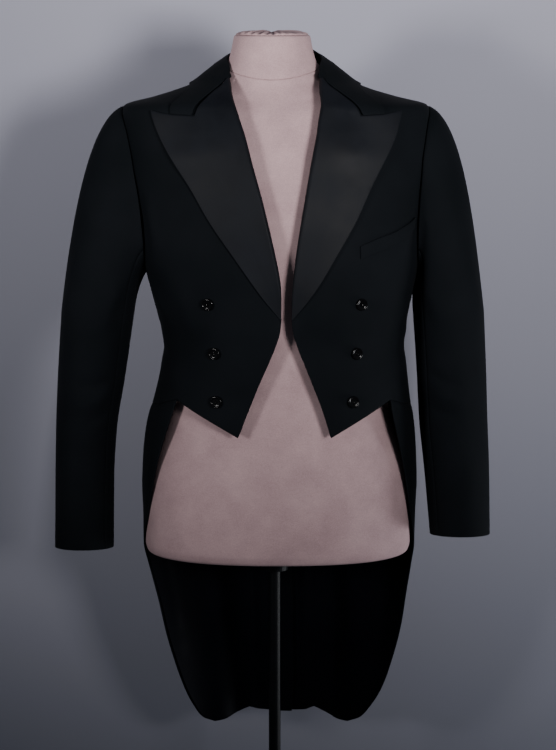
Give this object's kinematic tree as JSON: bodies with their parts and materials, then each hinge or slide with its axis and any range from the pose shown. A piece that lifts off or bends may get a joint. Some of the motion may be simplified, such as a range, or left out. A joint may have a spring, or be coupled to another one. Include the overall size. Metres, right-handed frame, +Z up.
{
  "type": "full-dress tailcoat on a limbless dress form with a stand",
  "caption": "Black cut-away tailcoat with peaked satin lapels and long tails, worn by a pale jersey dress form on a pole stand with a round base.",
  "frame": {"origin": "centre of the stand base's underside", "axes": "+Z up along the pole, -Y out of the coat's front, +X to the wearer's left"},
  "size_m": [0.6397, 0.38, 1.5857],
  "materials": {
    "wool": "fine black wool barathea, soft nap",
    "satin": "black silk satin, soft sheen",
    "lining": "black lining satin",
    "button": "polished black",
    "form_cover": "pinkish beige heathered jersey",
    "stand_enamel": "black enamel, satin"
  },
  "bodies": {
    "root": {"collar": "wool", "front_left": "wool", "front_right": "wool", "side_body_left": "wool", "side_body_right": "wool", "back_left": "wool", "back_right": "wool", "skirt_left": "wool", "skirt_right": "wool", "top_sleeve_left": "wool", "top_sleeve_right": "wool", "under_sleeve_left": "wool", "under_sleeve_right": "wool", "lapel_left": "satin", "lapel_right": "satin", "pocket_welt": "wool", "skirt_lining_left": "lining", "skirt_lining_right": "lining", "tail_lining_left": "lining", "tail_lining_right": "lining", "front_button_1": "button", "front_button_2": "button", "front_button_3": "button", "front_button_4": "button", "front_button_5": "button", "front_button_6": "button", "back_button_1": "button", "back_button_2": "button", "cuff_button_left_1": "button", "cuff_button_left_2": "button", "cuff_button_left_3": "button", "cuff_button_left_4": "button", "cuff_button_right_1": "button", "cuff_button_right_2": "button", "cuff_button_right_3": "button", "cuff_button_right_4": "button", "form_torso": "form_cover", "form_neck": "form_cover", "form_neck_cap": "form_cover", "stand_pole": "stand_enamel", "stand_flange": "stand_enamel", "stand_base": "stand_enamel"}
  },
  "joints": []
}
